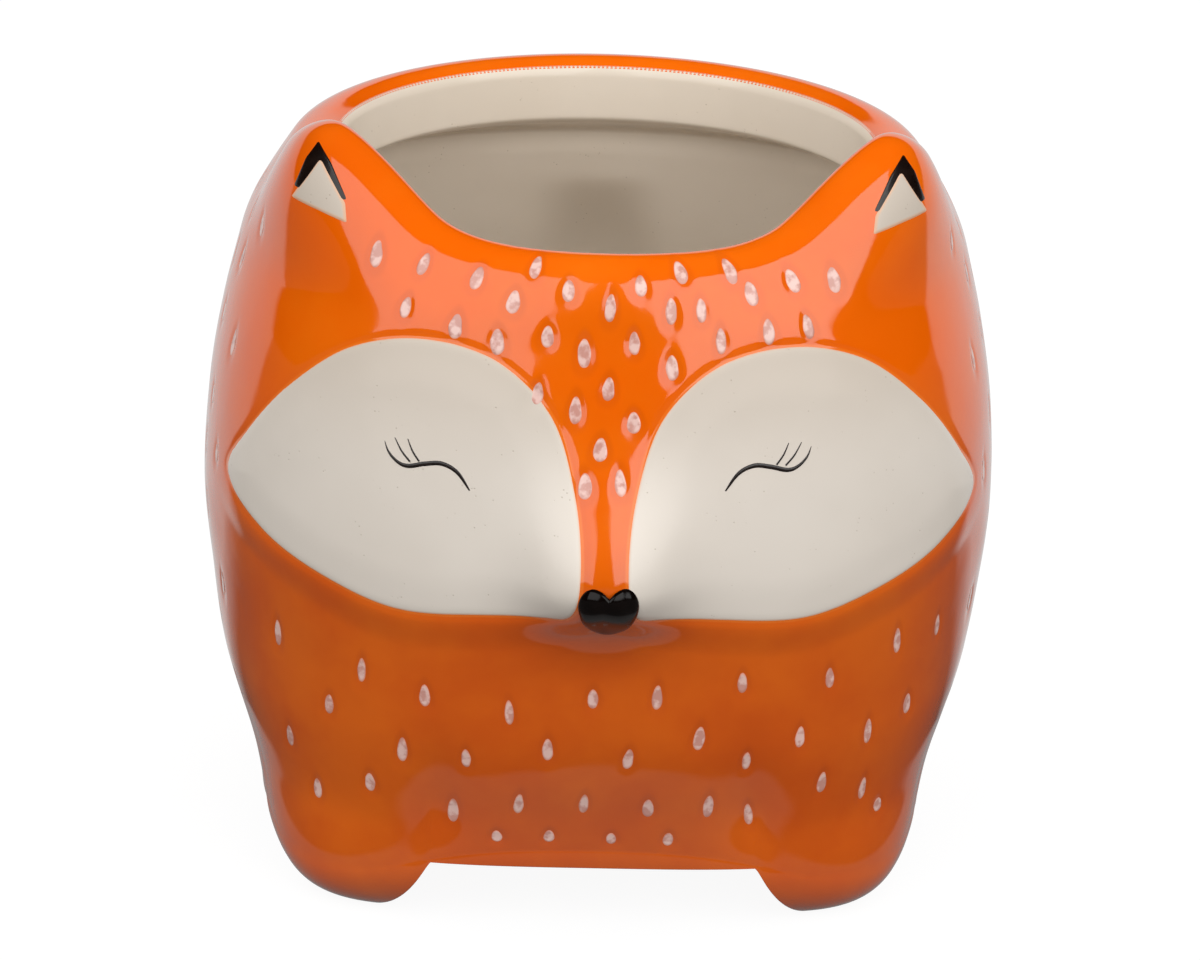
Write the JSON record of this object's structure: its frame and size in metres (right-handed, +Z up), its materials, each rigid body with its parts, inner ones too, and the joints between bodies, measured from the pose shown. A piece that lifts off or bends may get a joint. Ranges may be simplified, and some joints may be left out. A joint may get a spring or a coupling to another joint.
{
  "type": "animal shaped planter",
  "caption": "Glazed ceramic cover pot in the shape of a seated fox, open at the top, on four short feet.",
  "frame": {"origin": "middle of the pot's bounding box at the underside of its feet", "axes": "+X to the right as the pot is seen from the front, -Y where the fox looks, +Z up out of the opening"},
  "size_m": [0.135, 0.1453, 0.1316],
  "materials": {
    "orange_glaze": "gloss",
    "cream_lining": "gloss",
    "cream_glaze": "gloss",
    "black_enamel": "gloss",
    "black_nose_glaze": "high gloss",
    "fleck_enamel": "satin"
  },
  "bodies": {
    "root": {"clay_body": "orange_glaze", "lining": "cream_lining", "leg_cups": "cream_lining", "right_cheek": "cream_glaze", "left_cheek": "cream_glaze", "right_ear_patch": "cream_glaze", "left_ear_patch": "cream_glaze", "tail_tip": "cream_glaze", "right_ear_edging": "black_enamel", "left_ear_edging": "black_enamel", "right_lid_line": "black_enamel", "left_lid_line": "black_enamel", "right_lashes": "black_enamel", "left_lashes": "black_enamel", "nose": "black_nose_glaze", "forehead_flecks": "fleck_enamel", "chest_flecks": "fleck_enamel", "right_side_flecks": "fleck_enamel", "left_side_flecks": "fleck_enamel", "back_flecks": "fleck_enamel"}
  },
  "joints": []
}
